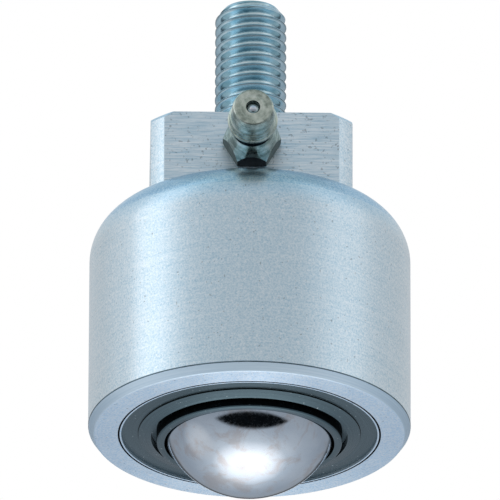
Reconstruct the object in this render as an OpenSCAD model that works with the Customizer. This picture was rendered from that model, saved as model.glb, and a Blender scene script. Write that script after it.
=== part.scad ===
// Stud-mounted ball transfer unit, with its grease nipple.
// The seat plane (foot of the stud) is z = 0, the stud points up and the main ball points down.
// The grease nipple points along -Y.

/* [Body] */
// Outer diameter of the body
body_d = 44.6; // [44:0.2:60]
// Height of the body, from its rim to its shoulder
body_h = 32.9; // [30:0.1:45]
// Radius of the rounded shoulder
shoulder_r = 7; // [1:0.5:7.5]
// Radial width of the chamfer round the rim
rim_chamfer_w = 0.8; // [0.4:0.1:1.2]
// Height of the chamfer round the rim
rim_chamfer_h = 1.1; // [0.4:0.1:2]

/* [Neck] */
// Diameter of the neck over its round corners
neck_d = 37; // [35:0.5:40]
// Width across each pair of flats
neck_af = 28; // [26.5:0.5:32]
// Height of the neck
neck_h = 9.9; // [9.4:0.1:20]
// Chamfer turned on the neck's top edge
neck_chamfer = 0.8; // [0.2:0.1:1.5]

/* [Stud] */
// Outer diameter of the stud's thread
stud_d = 10; // [8:0.5:12]
// Pitch of the stud's thread
thread_pitch = 1.5; // [1:0.25:2]
// Length of the stud above the seat plane
stud_len = 22; // [12:1:50]
// Length of the stud that is screwed into the neck
stud_engagement = 12; // [8:0.5:13]
// Length of the taper at each end of the stud
stud_taper = 1.6; // [0.5:0.1:2.5]
// Radial width of the countersink round the stud's thread
stud_countersink = 0.4; // [0.3:0.1:0.8]

/* [Balls] */
// Diameter of the main ball
ball_d = 25.4; // [24:0.1:26.4]
// How far the main ball stands out of the rim
ball_proud = 8.5; // [6.5:0.1:8.8]
// Diameter of each support ball
support_ball_d = 3.5; // [3:0.05:3.6]
// Running gap between a support ball and what it rolls on
roll_gap = 0.05; // [0.02:0.01:0.1]
// Gap between neighbouring balls of one row
ball_gap = 0.04; // [0.02:0.01:0.2]
// Gap between one row of balls and the next
row_gap = 0.08; // [0.06:0.01:0.2]

/* [Cup and keeper] */
// Wall of the hardened cup
cup_wall = 2.2; // [1.5:0.1:2.4]
// Diameter of the grease hole in the cup's crown
crown_hole_d = 2.2; // [1:0.1:3]
// Thickness of the keeper ring
keeper_t = 1; // [0.6:0.1:1.2]
// Radial gap between the keeper ring and the main ball
keeper_gap = 0.25; // [0.1:0.05:0.6]

/* [Cover ring] */
// Depth of the ring's outer band below the rim
cover_recess = 0.3; // [0.2:0.05:0.6]
// Height that the inner band stands above the outer one
band_step = 0.2; // [0.05:0.05:0.2]
// Width of the raised inner band
band_w = 1.8; // [0.8:0.1:2]
// How far the collar stands out of the rim
collar_proud = 1.4; // [0.6:0.1:1.6]
// Thickness of the collar at its lip
collar_wall = 1.65; // [0.9:0.05:2]
// Gap between the collar and the main ball
collar_gap = 0.3; // [0.3:0.05:0.6]
// Width of the groove round the collar
groove_w = 0.8; // [0.4:0.1:1]
// Depth of the groove round the collar
groove_depth = 0.6; // [0.3:0.05:0.8]
// Chamfer on the ring's outer edge, which the rolled lip grips
cover_chamfer = 0.75; // [0.5:0.05:0.8]

/* [Felt seal] */
// Radial width of the felt's pocket beyond the main ball
felt_w = 2.2; // [1.4:0.1:2.6]
// Gap between the felt and the main ball
felt_gap = 0.1; // [0.05:0.05:0.3]
// Metal left between the felt's pocket and the groove
felt_web = 0.8; // [0.5:0.1:1]

/* [Rolled lip] */
// Width of the housing's lip that is rolled over the cover ring
lip_w = 0.65; // [0.2:0.05:0.7]
// Width of the groove that the roller leaves in the rim
roll_groove_w = 0.35; // [0.2:0.05:0.5]
// Depth of the groove that the roller leaves in the rim
roll_groove_h = 0.35; // [0.1:0.05:0.6]

/* [Grease nipple] */
// Width across the flats of the nipple's hexagon
nipple_af = 7; // [6:0.5:8]
// Distance of the nipple's axis below the seat plane
nipple_drop = 4.9; // [4.5:0.1:6]
// Length of the nipple that stands out of the neck
nipple_len = 12; // [11:0.1:14]
// Height of the hexagon at its corners
nipple_hex_h = 2.9; // [2.5:0.1:3.8]
// Largest diameter of the nipple's head
nipple_head_d = 6.9; // [6:0.1:7]
// Diameter of the nipple's flat tip
nipple_tip_d = 5.4; // [4:0.1:5.6]
// Diameter of the waist behind the head
nipple_waist_d = 5; // [4.6:0.1:5.6]
// Length of the waist
nipple_waist_len = 0.5; // [0.3:0.1:0.8]
// Length of the straight band at the head's largest diameter
nipple_head_band = 0.5; // [0.3:0.1:0.8]
// Outer diameter of the nipple's thread
nipple_thread_d = 6; // [5:0.5:6]
// Length of the nipple's thread
nipple_thread_len = 5; // [4:0.1:5]
// Diameter of the mouth in the nipple's tip
nipple_mouth_d = 1.75; // [1.4:0.05:1.85]
// Depth of the mouth, down to the check ball's seat
mouth_depth = 0.7; // [0.5:0.1:1]
// Diameter of the check ball
check_ball_d = 2; // [1.95:0.05:2.2]
// Diameter of the bore that holds the check ball and its spring
check_bore_d = 2.4; // [2.3:0.05:2.8]
// Travel of the check ball
check_travel = 0.5; // [0.2:0.1:1]
// Wire diameter of the check spring
spring_wire_d = 0.25; // [0.15:0.05:0.3]
// Number of turns in the check spring
spring_turns = 8; // [5:1:12]
// Thickness of the shank's peened end, which holds the spring
peen_t = 0.5; // [0.3:0.1:0.6]
// Diameter of the hole left in the peened end
peen_hole_d = 1.4; // [1:0.1:1.6]

/* [Grease way] */
// Diameter of the drilled grease way
grease_way_d = 2; // [1:0.1:2.4]
// Metal left between the grease way and the stud's hole
grease_way_wall = 1.2; // [0.8:0.1:1.6]
// Height of the grease room above the cup
grease_room_h = 0.6; // [0.4:0.1:1]

/* [Fits] */
// Radial clearance of pieces that fit in one another
fit_gap = 0.05; // [0.02:0.01:0.1]
// Spare depth at the end of each blind hole
hole_spare = 1; // [0.3:0.1:1]

/* [Hidden] */
$fn = 96;
SMALL_FN = 48;
EPS = 0.01;
edge_break = 0.15;
thread_break = 0.6;
ROWS = 6;

// metric thread form; the screwed joint of stud and neck is drawn plain, at the pitch diameter
stud_pitch_r = stud_d / 2 - 0.325 * thread_pitch;
thread_root_r = stud_d / 2 - 0.613 * thread_pitch;
thread_crest_w = thread_pitch / 8;
thread_root_w = thread_pitch / 4;

// heights, from the seat plane down
body_top_z = -neck_h;
rim_z = body_top_z - body_h;
ball_r = ball_d / 2;
ball_z = rim_z - ball_proud + ball_r;

// the race: main ball, support balls, cup and bore are shells about one centre
support_r = support_ball_d / 2;
path_r = ball_r + roll_gap + support_r;
race_r = path_r + support_r + roll_gap;
cup_r = race_r + cup_wall;
bore_r = cup_r + fit_gap;
row_step = 2 * asin((support_ball_d + row_gap) / (2 * path_r));

// the stack under the support balls
keeper_top_z = ball_z + path_r * cos(ROWS * row_step) - support_r - roll_gap;
cover_top_z = keeper_top_z - keeper_t;
outer_band_z = rim_z + cover_recess;
inner_band_z = outer_band_z - band_step;
groove_top_z = inner_band_z + groove_depth;
felt_floor_z = groove_top_z + felt_web;
collar_face_z = rim_z - collar_proud;
collar_bore_r = ball_r + collar_gap;
lip_r = sqrt(pow(collar_bore_r, 2) - pow(ball_z - collar_face_z, 2));
collar_r = lip_r + collar_wall;
groove_r = collar_r + groove_w;
band_r = groove_r + band_w;
felt_pocket_r = ball_r + felt_w;

// the grease way and the grease room above the cup
grease_way_r = grease_way_d / 2;
grease_way_y = -(stud_d / 2 + grease_way_wall + grease_way_r);
grease_room_r = -grease_way_y + grease_way_r + 0.5;
grease_room_z = ball_z + cup_r + grease_room_h;

// the nipple, measured outwards from the neck's flat
nipple_z = -nipple_drop;
nipple_corner_r = nipple_af / 2 / cos(30);
hex_cone_slope = 0.6;
waist_r = nipple_waist_d / 2;
head_r = nipple_head_d / 2;
waist_start = nipple_hex_h + (nipple_corner_r - waist_r) / hex_cone_slope;
waist_end = waist_start + nipple_waist_len;
head_start = waist_end + head_r - waist_r;
head_end = head_start + nipple_head_band;
mouth_r = nipple_mouth_d / 2;
check_r = check_ball_d / 2;
check_bore_r = check_bore_d / 2;
check_at = nipple_len - mouth_depth - sqrt(pow(check_r, 2) - pow(mouth_r, 2)) - fit_gap;
peen_hole_r = peen_hole_d / 2;
spring_r = check_bore_r - fit_gap * 2 - spring_wire_d / 2;
spring_low = -nipple_thread_len + peen_t + spring_wire_d / 2 + fit_gap;
// the last turn touches the check ball where the coil's wire meets the ball's round
spring_rest = sqrt(pow(check_r + spring_wire_d / 2, 2) - pow(min(spring_r, check_r), 2));
spring_high = check_at - spring_rest - fit_gap;

// half profile of the body: a rounded shoulder above, a chamfered rim below
module body_profile() {
    difference() {
        union() {
            translate([0, rim_z]) square([body_d / 2, body_h - shoulder_r]);
            translate([0, rim_z]) square([body_d / 2 - shoulder_r, body_h]);
            translate([body_d / 2 - shoulder_r, body_top_z - shoulder_r]) circle(shoulder_r);
        }
        polygon([[body_d / 2 - rim_chamfer_w, rim_z],
                 [body_d / 2 + EPS, rim_z + rim_chamfer_h * (1 + EPS / rim_chamfer_w)],
                 [body_d / 2 + EPS, rim_z - EPS],
                 [body_d / 2 - rim_chamfer_w, rim_z - EPS]]);
    }
}

// round neck with a chamfered top edge, milled to four flats; its foot is inside the rounded shoulder
module neck() {
    foot_z = body_top_z - shoulder_r;
    intersection() {
        rotate_extrude() polygon([[0, foot_z], [neck_d / 2, foot_z],
                                  [neck_d / 2, -neck_chamfer], [neck_d / 2 - neck_chamfer, 0], [0, 0]]);
        translate([-neck_af / 2, -neck_af / 2, foot_z - 1]) cube([neck_af, neck_af, 2 - foot_z]);
    }
}

// half profile of the bore: rolled lip, straight bore, round bottom, grease room
module bore_profile() {
    lip_bore_r = bore_r - lip_w;
    lip_root_z = outer_band_z + cover_chamfer;
    intersection() {
        union() {
            polygon([[0, rim_z - 1], [lip_bore_r, rim_z - 1], [lip_bore_r, lip_root_z - lip_w],
                     [bore_r, lip_root_z], [bore_r, ball_z], [0, ball_z]]);
            translate([0, ball_z]) circle(bore_r);
            translate([0, ball_z]) square([grease_room_r, grease_room_z - ball_z]);
        }
        translate([0, rim_z - 1]) square([bore_r * 2, body_h + 2]);
    }
}

// groove that the roller leaves in the rim as it turns the lip in
module roll_groove_profile() {
    start_r = bore_r - lip_w / 4;
    polygon([[start_r, rim_z - EPS], [start_r, rim_z],
             [start_r + roll_groove_w * 0.4, rim_z + roll_groove_h],
             [start_r + roll_groove_w, rim_z], [start_r + roll_groove_w, rim_z - EPS]]);
}

// places a child drawn along +Z on the nipple's axis, with z = 0 on the neck's flat
module on_nipple_axis() {
    translate([0, -neck_af / 2, nipple_z]) rotate([90, 0, 0]) children();
}

// tapped hole for the nipple, the way in from it, and the way down to the grease room
module grease_way() {
    past_end = 0.3;
    shank_end = -nipple_thread_len - past_end;
    way_end = -(neck_af / 2 + grease_way_y) - past_end;
    on_nipple_axis() {
        translate([0, 0, shank_end])
            cylinder(h = 1 - shank_end, r = nipple_thread_d / 2 + fit_gap, $fn = SMALL_FN);
        translate([0, 0, way_end])
            cylinder(h = -way_end, r = grease_way_r + 0.1, $fn = SMALL_FN);
    }
    translate([0, grease_way_y, grease_room_z - 1])
        cylinder(h = nipple_z + 0.6 * grease_way_r - grease_room_z + 1, r = grease_way_r, $fn = SMALL_FN);
}

// half profile of the stud's hole: straight, with a countersink that clears the thread
module stud_hole_profile() {
    mouth_r = stud_d / 2 + stud_countersink;
    polygon([[0, -stud_engagement - hole_spare], [stud_pitch_r, -stud_engagement - hole_spare],
             [stud_pitch_r, stud_pitch_r - mouth_r], [mouth_r, 0], [mouth_r, 1], [0, 1]]);
}

module housing() {
    color("lightsteelblue") difference() {
        union() {
            rotate_extrude() body_profile();
            neck();
        }
        rotate_extrude() bore_profile();
        rotate_extrude() roll_groove_profile();
        rotate_extrude() stud_hole_profile();
        grease_way();
    }
}

// half profile of the rod: tapered ends, the thread's full size outside the neck, pitch diameter inside
module stud_rod_profile() {
    taper_w = stud_taper * 0.7;
    held_r = stud_pitch_r - fit_gap;
    polygon([
        [0, -stud_engagement], [held_r - taper_w, -stud_engagement],
        [held_r, -stud_engagement + stud_taper], [held_r, 0], [stud_d / 2, 0],
        [stud_d / 2, stud_len - stud_taper], [stud_d / 2 - taper_w, stud_len], [0, stud_len]]);
}

// half profile of one thread groove, open outwards, with its lower edge at z = 0
module thread_groove_profile() {
    out_r = stud_d / 2 + thread_pitch;
    open_w = thread_pitch - thread_crest_w;
    flank_w = (open_w - thread_root_w) / 2;
    polygon([[out_r, 0], [stud_d / 2, 0], [thread_root_r, flank_w],
             [thread_root_r, flank_w + thread_root_w], [stud_d / 2, open_w], [out_r, open_w]]);
}

// the thread is drawn as rings at its pitch, from the seat plane to halfway up the taper
module stud() {
    grooves = floor((stud_len - stud_taper / 2) / thread_pitch);
    color("lightblue") rotate_extrude() difference() {
        stud_rod_profile();
        for (i = [0 : grooves - 1])
            translate([0, thread_crest_w + i * thread_pitch]) thread_groove_profile();
    }
}

// hardened cup: a half-round race with a short straight skirt and a grease hole in its crown
module ball_cup() {
    color("gray") translate([0, 0, ball_z]) rotate_extrude() difference() {
        intersection() {
            union() {
                circle(cup_r);
                translate([0, -cup_r]) square(cup_r);
            }
            translate([0, keeper_top_z - ball_z]) square(cup_r * 2);
        }
        circle(race_r);
        translate([0, -cup_r]) square([race_r, cup_r]);
        square([crown_hole_d / 2, cup_r + 1]);
    }
}

module main_ball() {
    color("silver") translate([0, 0, ball_z]) sphere(ball_r);
}

module crown_ball() {
    color("gainsboro") translate([0, 0, ball_z + path_r]) sphere(support_r, $fn = SMALL_FN);
}

// one ring of support balls, with as many as fit round it
module support_balls_row(row) {
    ring_r = path_r * sin(row * row_step);
    count = floor(180 / asin((support_ball_d + ball_gap) / (2 * ring_r)));
    color("gainsboro") for (i = [0 : count - 1])
        rotate([0, 0, 360 * i / count])
            translate([ring_r, 0, ball_z + path_r * cos(row * row_step)])
                sphere(support_r, $fn = SMALL_FN);
}

// flat ring under the lowest row of support balls
module keeper_ring() {
    inner_r = ball_r + keeper_gap;
    color("dimgray") translate([0, 0, cover_top_z]) rotate_extrude()
        translate([inner_r, 0]) square([cup_r - inner_r, keeper_t]);
}

// felt ring with a round bore that follows the main ball
module felt_seal() {
    color("tan") translate([0, 0, ball_z]) rotate_extrude() difference() {
        translate([0, felt_floor_z - ball_z])
            square([felt_pocket_r - fit_gap, cover_top_z - felt_floor_z]);
        circle(ball_r + felt_gap);
    }
}

// turned cover ring: outer band, raised inner band, groove, and a collar round the main ball
module cover_ring() {
    color("darkslategray") translate([0, 0, ball_z]) rotate_extrude() difference() {
        translate([0, -ball_z]) polygon([
            [0, cover_top_z], [cup_r, cover_top_z],
            [cup_r, outer_band_z + cover_chamfer], [cup_r - cover_chamfer, outer_band_z],
            [band_r, outer_band_z], [band_r, inner_band_z],
            [groove_r + edge_break, inner_band_z], [groove_r, inner_band_z + edge_break],
            [groove_r, groove_top_z], [collar_r, groove_top_z],
            [collar_r, collar_face_z + 2 * edge_break], [collar_r - edge_break, collar_face_z + edge_break],
            [lip_r, collar_face_z], [0, collar_face_z]]);
        circle(collar_bore_r);
        translate([0, -cup_r]) square([lip_r - EPS, cup_r]);
        translate([0, felt_floor_z - ball_z]) square([felt_pocket_r, cup_r]);
    }
}

// half profile of the nipple beyond its hexagon, from the waist to the flat tip
module nipple_head_profile() {
    tip_r = nipple_tip_d / 2;
    polygon([[0, 0], [waist_r, 0], [waist_r, waist_end], [head_r, head_start], [head_r, head_end],
             [tip_r, nipple_len - edge_break], [tip_r - edge_break, nipple_len], [0, nipple_len]]);
}

// cone that takes the hexagon's corners down to the waist
module nipple_hexagon() {
    intersection() {
        cylinder(h = waist_start, r = nipple_corner_r, $fn = 6);
        rotate_extrude($fn = SMALL_FN) polygon([
            [0, 0], [nipple_corner_r - edge_break, 0], [nipple_corner_r + EPS, edge_break + EPS],
            [nipple_corner_r + EPS, nipple_hex_h], [waist_r, waist_start], [0, waist_start]]);
    }
}

// mouth, ball seat and spring bore, left nearly closed at the shank by a peened edge
module nipple_bore_profile() {
    seat_top = nipple_len - mouth_depth;
    seat_low = seat_top - (check_bore_r - mouth_r);
    polygon([[0, nipple_len + 1], [mouth_r, nipple_len + 1], [mouth_r, seat_top],
             [check_bore_r, seat_low], [check_bore_r, -nipple_thread_len + peen_t],
             [peen_hole_r, -nipple_thread_len + peen_t], [peen_hole_r, -nipple_thread_len - 1],
             [0, -nipple_thread_len - 1]]);
}

module nipple_body() {
    thread_r = nipple_thread_d / 2;
    color("darkseagreen") on_nipple_axis() difference() {
        union() {
            rotate_extrude($fn = SMALL_FN) nipple_head_profile();
            nipple_hexagon();
            rotate_extrude($fn = SMALL_FN) polygon([
                [0, -nipple_thread_len], [thread_r - thread_break, -nipple_thread_len],
                [thread_r, -nipple_thread_len + thread_break], [thread_r, EPS], [0, EPS]]);
        }
        rotate_extrude($fn = SMALL_FN) nipple_bore_profile();
    }
}

module nipple_ball() {
    color("white") on_nipple_axis() translate([0, 0, check_at]) sphere(check_r, $fn = SMALL_FN);
}

// helical spring: rings of points along the coil, joined side by side
module nipple_spring() {
    sides = 6;
    steps = 10;
    rings = spring_turns * steps;
    rise = (spring_high - spring_low) / rings;
    points = [for (i = [0 : rings], j = [0 : sides - 1])
        let (turn = 360 * i / steps, side = 360 * j / sides,
             r = spring_r + spring_wire_d / 2 * cos(side))
        [r * cos(turn), r * sin(turn), spring_low + rise * i + spring_wire_d / 2 * sin(side)]];
    walls = [for (i = [0 : rings - 1], j = [0 : sides - 1])
        let (next = (j + 1) % sides)
        [i * sides + j, i * sides + next, (i + 1) * sides + next, (i + 1) * sides + j]];
    first = [for (j = [sides - 1 : -1 : 0]) j];
    last = [for (j = [0 : sides - 1]) rings * sides + j];
    color("silver") on_nipple_axis() polyhedron(points, concat(walls, [first, last]));
}

housing();
stud();
ball_cup();
main_ball();
crown_ball();
support_balls_row(1);  // support_balls_row_1
support_balls_row(2);  // support_balls_row_2
support_balls_row(3);  // support_balls_row_3
support_balls_row(4);  // support_balls_row_4
support_balls_row(5);  // support_balls_row_5
support_balls_row(6);  // support_balls_row_6
keeper_ring();
felt_seal();
cover_ring();
nipple_body();
nipple_ball();
nipple_spring();
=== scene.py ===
import math

import bpy
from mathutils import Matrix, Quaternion, Vector


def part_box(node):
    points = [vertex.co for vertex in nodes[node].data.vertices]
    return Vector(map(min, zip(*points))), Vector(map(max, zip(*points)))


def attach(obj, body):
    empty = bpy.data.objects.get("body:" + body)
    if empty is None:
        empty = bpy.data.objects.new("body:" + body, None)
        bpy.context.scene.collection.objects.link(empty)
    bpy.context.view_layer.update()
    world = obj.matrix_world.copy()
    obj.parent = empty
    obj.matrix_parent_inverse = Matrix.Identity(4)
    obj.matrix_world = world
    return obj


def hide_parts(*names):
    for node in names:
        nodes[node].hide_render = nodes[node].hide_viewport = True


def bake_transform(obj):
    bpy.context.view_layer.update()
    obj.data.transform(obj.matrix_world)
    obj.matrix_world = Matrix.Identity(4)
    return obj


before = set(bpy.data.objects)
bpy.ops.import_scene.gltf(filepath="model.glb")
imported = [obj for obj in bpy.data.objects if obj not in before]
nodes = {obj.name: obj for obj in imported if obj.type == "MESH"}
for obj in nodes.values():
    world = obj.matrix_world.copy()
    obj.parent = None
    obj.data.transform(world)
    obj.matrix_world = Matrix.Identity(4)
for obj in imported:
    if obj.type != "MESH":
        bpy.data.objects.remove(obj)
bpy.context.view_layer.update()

MM = 0.001

# sizes in millimetres, read from the frame
RIM_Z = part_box("housing")[0].z / MM
BODY_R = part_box("housing")[1].x / MM
STUD_TIP_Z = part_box("stud")[1].z / MM
STUD_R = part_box("stud")[1].x / MM
STUD_FOOT_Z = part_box("stud")[0].z / MM
BALL_LOW, BALL_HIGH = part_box("main_ball")
BALL_R = (BALL_HIGH.z - BALL_LOW.z) / 2 / MM
BALL_Z = (BALL_HIGH.z + BALL_LOW.z) / 2 / MM
RING_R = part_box("cover_ring")[1].x / MM
RING_TOP_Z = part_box("cover_ring")[1].z / MM
COLLAR_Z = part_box("cover_ring")[0].z / MM
NIPPLE_LOW, NIPPLE_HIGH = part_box("nipple_body")
TIP_Y = -NIPPLE_LOW.y / MM
HEX_HALF = (NIPPLE_HIGH.z - NIPPLE_LOW.z) / 2 / MM
NIPPLE_Z = (NIPPLE_HIGH.z + NIPPLE_LOW.z) / 2 / MM
SPRING_LOW, SPRING_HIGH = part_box("nipple_spring")

# sizes of the turned and milled details, in millimetres; a bore's dome is in degrees
NECK_H = 9.9
NECK_R = 18.5
NECK_FLAT = 14.0
NECK_CHAMFER = 0.8
SHOULDER_R = 7.0
RIM_CHAMFER_W = 0.8
RIM_CHAMFER_H = 1.1
BORE_DOME = 60
ROLL_W = 0.26
ROLL_DEPTH = 0.3
ROLL_LEAN = 0.04
THREAD_PITCH = 1.5
THREAD_DEPTH = 0.6134 * THREAD_PITCH
TAP_WALL = 0.4875
STUD_SINK = 0.4
RING_EDGE = 0.8
BALL_GAP = 0.3
COLLAR_W = 1.08
RING_GROOVE_W = 0.78
BAND_W = 1.82
BORE_R = RING_R + 0.05
LIP_R = BORE_R - 0.65
OUTER_BAND_Z = RIM_Z + 0.3
INNER_BAND_Z = RIM_Z + 0.1
FELT_FLOOR_Z = INNER_BAND_Z + 1.4
HEX_PLAIN = 1.6
HEX_SLOPE = 0.36
WAIST_R = 2.5
WAIST_L = 0.5
HEAD_R = 3.45
SHANK_R = 3.0
SHANK_L = 5.0
MOUTH_R = 0.875
MOUTH_L = 0.7
CHAMBER_R = 1.2
FEED_R = 0.7
WIRE_R = 0.125
SPRING_TURNS = 8

# how far round the shoulder, in degrees, the wall's turned finish reaches before the fillet, whose darker,
# bluer plate is a painted reflection of the bluer light above
PAINTED_FILLET_START = 23.5

# faces round a large turned piece, and round a small one
ROUND = 192
SMALL_ROUND = 96


def sine(degrees):
    return math.sin(math.radians(degrees))


def cosine(degrees):
    return math.cos(math.radians(degrees))


# ---------- working in Blender's edit mode ----------

def clear_selection():
    if bpy.context.mode != "OBJECT":
        bpy.ops.object.mode_set(mode="OBJECT")
    bpy.ops.object.select_all(action="DESELECT")


def pick(piece):
    """Make one piece the only one selected, and the active one."""
    clear_selection()
    piece.select_set(True)
    bpy.context.view_layer.objects.active = piece


def edit(piece):
    """Open a piece in edit mode with everything in it selected."""
    pick(piece)
    bpy.ops.object.mode_set(mode="EDIT")
    bpy.ops.mesh.select_all(action="SELECT")


def named(name):
    piece = bpy.context.active_object
    piece.name = name
    piece.data.name = name
    return piece


def traced(name, path):
    """Draw a line through (radius, height) points, in millimetres, and leave it selected in edit mode."""
    clear_selection()
    bpy.ops.mesh.primitive_plane_add(size=MM)
    piece = named(name)
    edit(piece)
    bpy.ops.mesh.merge(type="CENTER")
    bpy.ops.transform.translate(value=(path[0][0] * MM, 0, path[0][1] * MM))
    for (r0, z0), (r1, z1) in zip(path, path[1:]):
        bpy.ops.mesh.extrude_region_move(
            TRANSFORM_OT_translate={"value": ((r1 - r0) * MM, 0, (z1 - z0) * MM)})
    bpy.ops.mesh.select_all(action="SELECT")
    bpy.ops.mesh.remove_doubles(threshold=1e-6)
    return piece


def turned(name, outline, closed=False, steps=ROUND):
    """Spin an outline of (radius, height) points, in millimetres, once round Z."""
    piece = traced(name, outline + outline[:1] if closed else outline)
    bpy.ops.mesh.spin(steps=steps, angle=2 * math.pi, center=(0, 0, 0), axis=(0, 0, 1))
    bpy.ops.mesh.select_all(action="SELECT")
    bpy.ops.mesh.remove_doubles(threshold=1e-6)
    bpy.ops.mesh.normals_make_consistent(inside=False)
    clear_selection()
    return piece


def wound(piece, pitch, turns, steps):
    """Wind a closed outline up round Z by a pitch in metres, close both ends and turn its faces outwards."""
    apply_modifier(piece, "SCREW", angle=2 * math.pi, screw_offset=pitch, iterations=turns, steps=steps,
                   render_steps=steps, use_merge_vertices=False, axis="Z")
    edit(piece)
    bpy.ops.mesh.remove_doubles(threshold=1e-7)
    bpy.ops.mesh.select_all(action="DESELECT")
    bpy.ops.mesh.select_non_manifold(extend=False)
    bpy.ops.mesh.fill_holes(sides=0)
    bpy.ops.mesh.select_all(action="SELECT")
    bpy.ops.mesh.normals_make_consistent(inside=False)
    clear_selection()


def arc(centre, radius, start, end, count):
    """Points of an arc in the outline's plane; angles in degrees from the radius direction."""
    angles = [start + (end - start) * i / count for i in range(count + 1)]
    return [(centre[0] + radius * cosine(a), centre[1] + radius * sine(a)) for a in angles]


def apply_modifier(piece, kind, **settings):
    pick(piece)
    modifier = piece.modifiers.new(kind.lower(), kind)
    for key, value in settings.items():
        setattr(modifier, key, value)
    bpy.ops.object.modifier_apply(modifier=modifier.name)


def broken_edges(piece, width, angle=28, segments=2):
    """Take the sharpness off a piece's edges by a width in millimetres."""
    apply_modifier(piece, "BEVEL", width=width * MM, segments=segments, limit_method="ANGLE",
                   angle_limit=math.radians(angle), use_clamp_overlap=True)


def combined(piece, other, operation):
    """Join, cut or keep the overlap of two pieces; the second one is used up."""
    apply_modifier(piece, "BOOLEAN", operation=operation, object=other, solver="EXACT")
    bpy.data.objects.remove(other)


def smooth(piece, angle=30):
    pick(piece)
    bpy.ops.object.shade_smooth_by_angle(angle=math.radians(angle))
    apply_modifier(piece, "WEIGHTED_NORMAL", keep_sharp=True)


def laid_on_nipple_axis(piece):
    """Turn a piece made along +Z so that it points along -Y, and put it on the nipple's axis."""
    edit(piece)
    bpy.ops.transform.rotate(value=-math.pi / 2, orient_axis="X", center_override=(0, 0, 0))
    bpy.ops.transform.translate(value=(0, 0, NIPPLE_Z * MM))
    clear_selection()


# ---------- materials ----------

def colour(code):
    """The linear colour of an sRGB hex code."""
    parts = [int(code[i:i + 2], 16) / 255 for i in (0, 2, 4)]
    return [p / 12.92 if p <= 0.04045 else ((p + 0.055) / 1.055) ** 2.4 for p in parts] + [1.0]


def add(material, kind, feeds=None, stops=(), **settings):
    """Add a node; feeds gives each input a value or the output linked to it, stops fill a ramp."""
    made = material.node_tree.nodes.new("ShaderNode" + kind)
    for key, value in settings.items():
        setattr(made, key, value)
    for key, value in (feeds or {}).items():
        if isinstance(value, bpy.types.NodeSocket):
            material.node_tree.links.new(value, made.inputs[key])
        else:
            made.inputs[key].default_value = value
    if stops:
        elements = made.color_ramp.elements
        while len(elements) < len(stops):
            elements.new(0.5)
        for element, (place, value) in zip(elements, stops):
            element.position = place
            element.color = value if isinstance(value, (list, tuple)) else (value, value, value, 1)
    return made


def new_material(name):
    material = bpy.data.materials.new(name)
    material.use_nodes = True
    material.node_tree.nodes.clear()
    return material


def turning_coordinates(material):
    """Object coordinates, their parts, and the distance along and out from Z that a tool's path keeps."""
    place = add(material, "TexCoord").outputs["Object"]
    parts = add(material, "SeparateXYZ", {"Vector": place})
    flat = add(material, "CombineXYZ", {"X": parts.outputs["X"], "Y": parts.outputs["Y"]}).outputs["Vector"]
    out = add(material, "VectorMath", {0: flat}, operation="LENGTH").outputs["Value"]
    along = add(material, "Math", {0: parts.outputs["Z"], 1: out}, operation="ADD").outputs["Value"]
    return place, parts, along


def stretched(material, across, level, along, round_scale, ring_scale):
    """Coordinates for noise that is drawn out round the axis and fine across the rings."""
    x = add(material, "Math", {0: across, 1: round_scale}, operation="MULTIPLY").outputs[0]
    y = add(material, "Math", {0: level, 1: round_scale}, operation="MULTIPLY").outputs[0]
    z = add(material, "Math", {0: along, 1: ring_scale}, operation="MULTIPLY").outputs[0]
    return add(material, "CombineXYZ", {"X": x, "Y": y, "Z": z}).outputs[0]


def across_rings(material, amount):
    """Turning lines spread a reflection across themselves, so the shine is drawn out off the rings."""
    round_axis = add(material, "Tangent", direction_type="RADIAL", axis="Z").outputs["Tangent"]
    return {"Anisotropic": amount, "Anisotropic Rotation": 0.25, "Tangent": round_axis}


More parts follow.
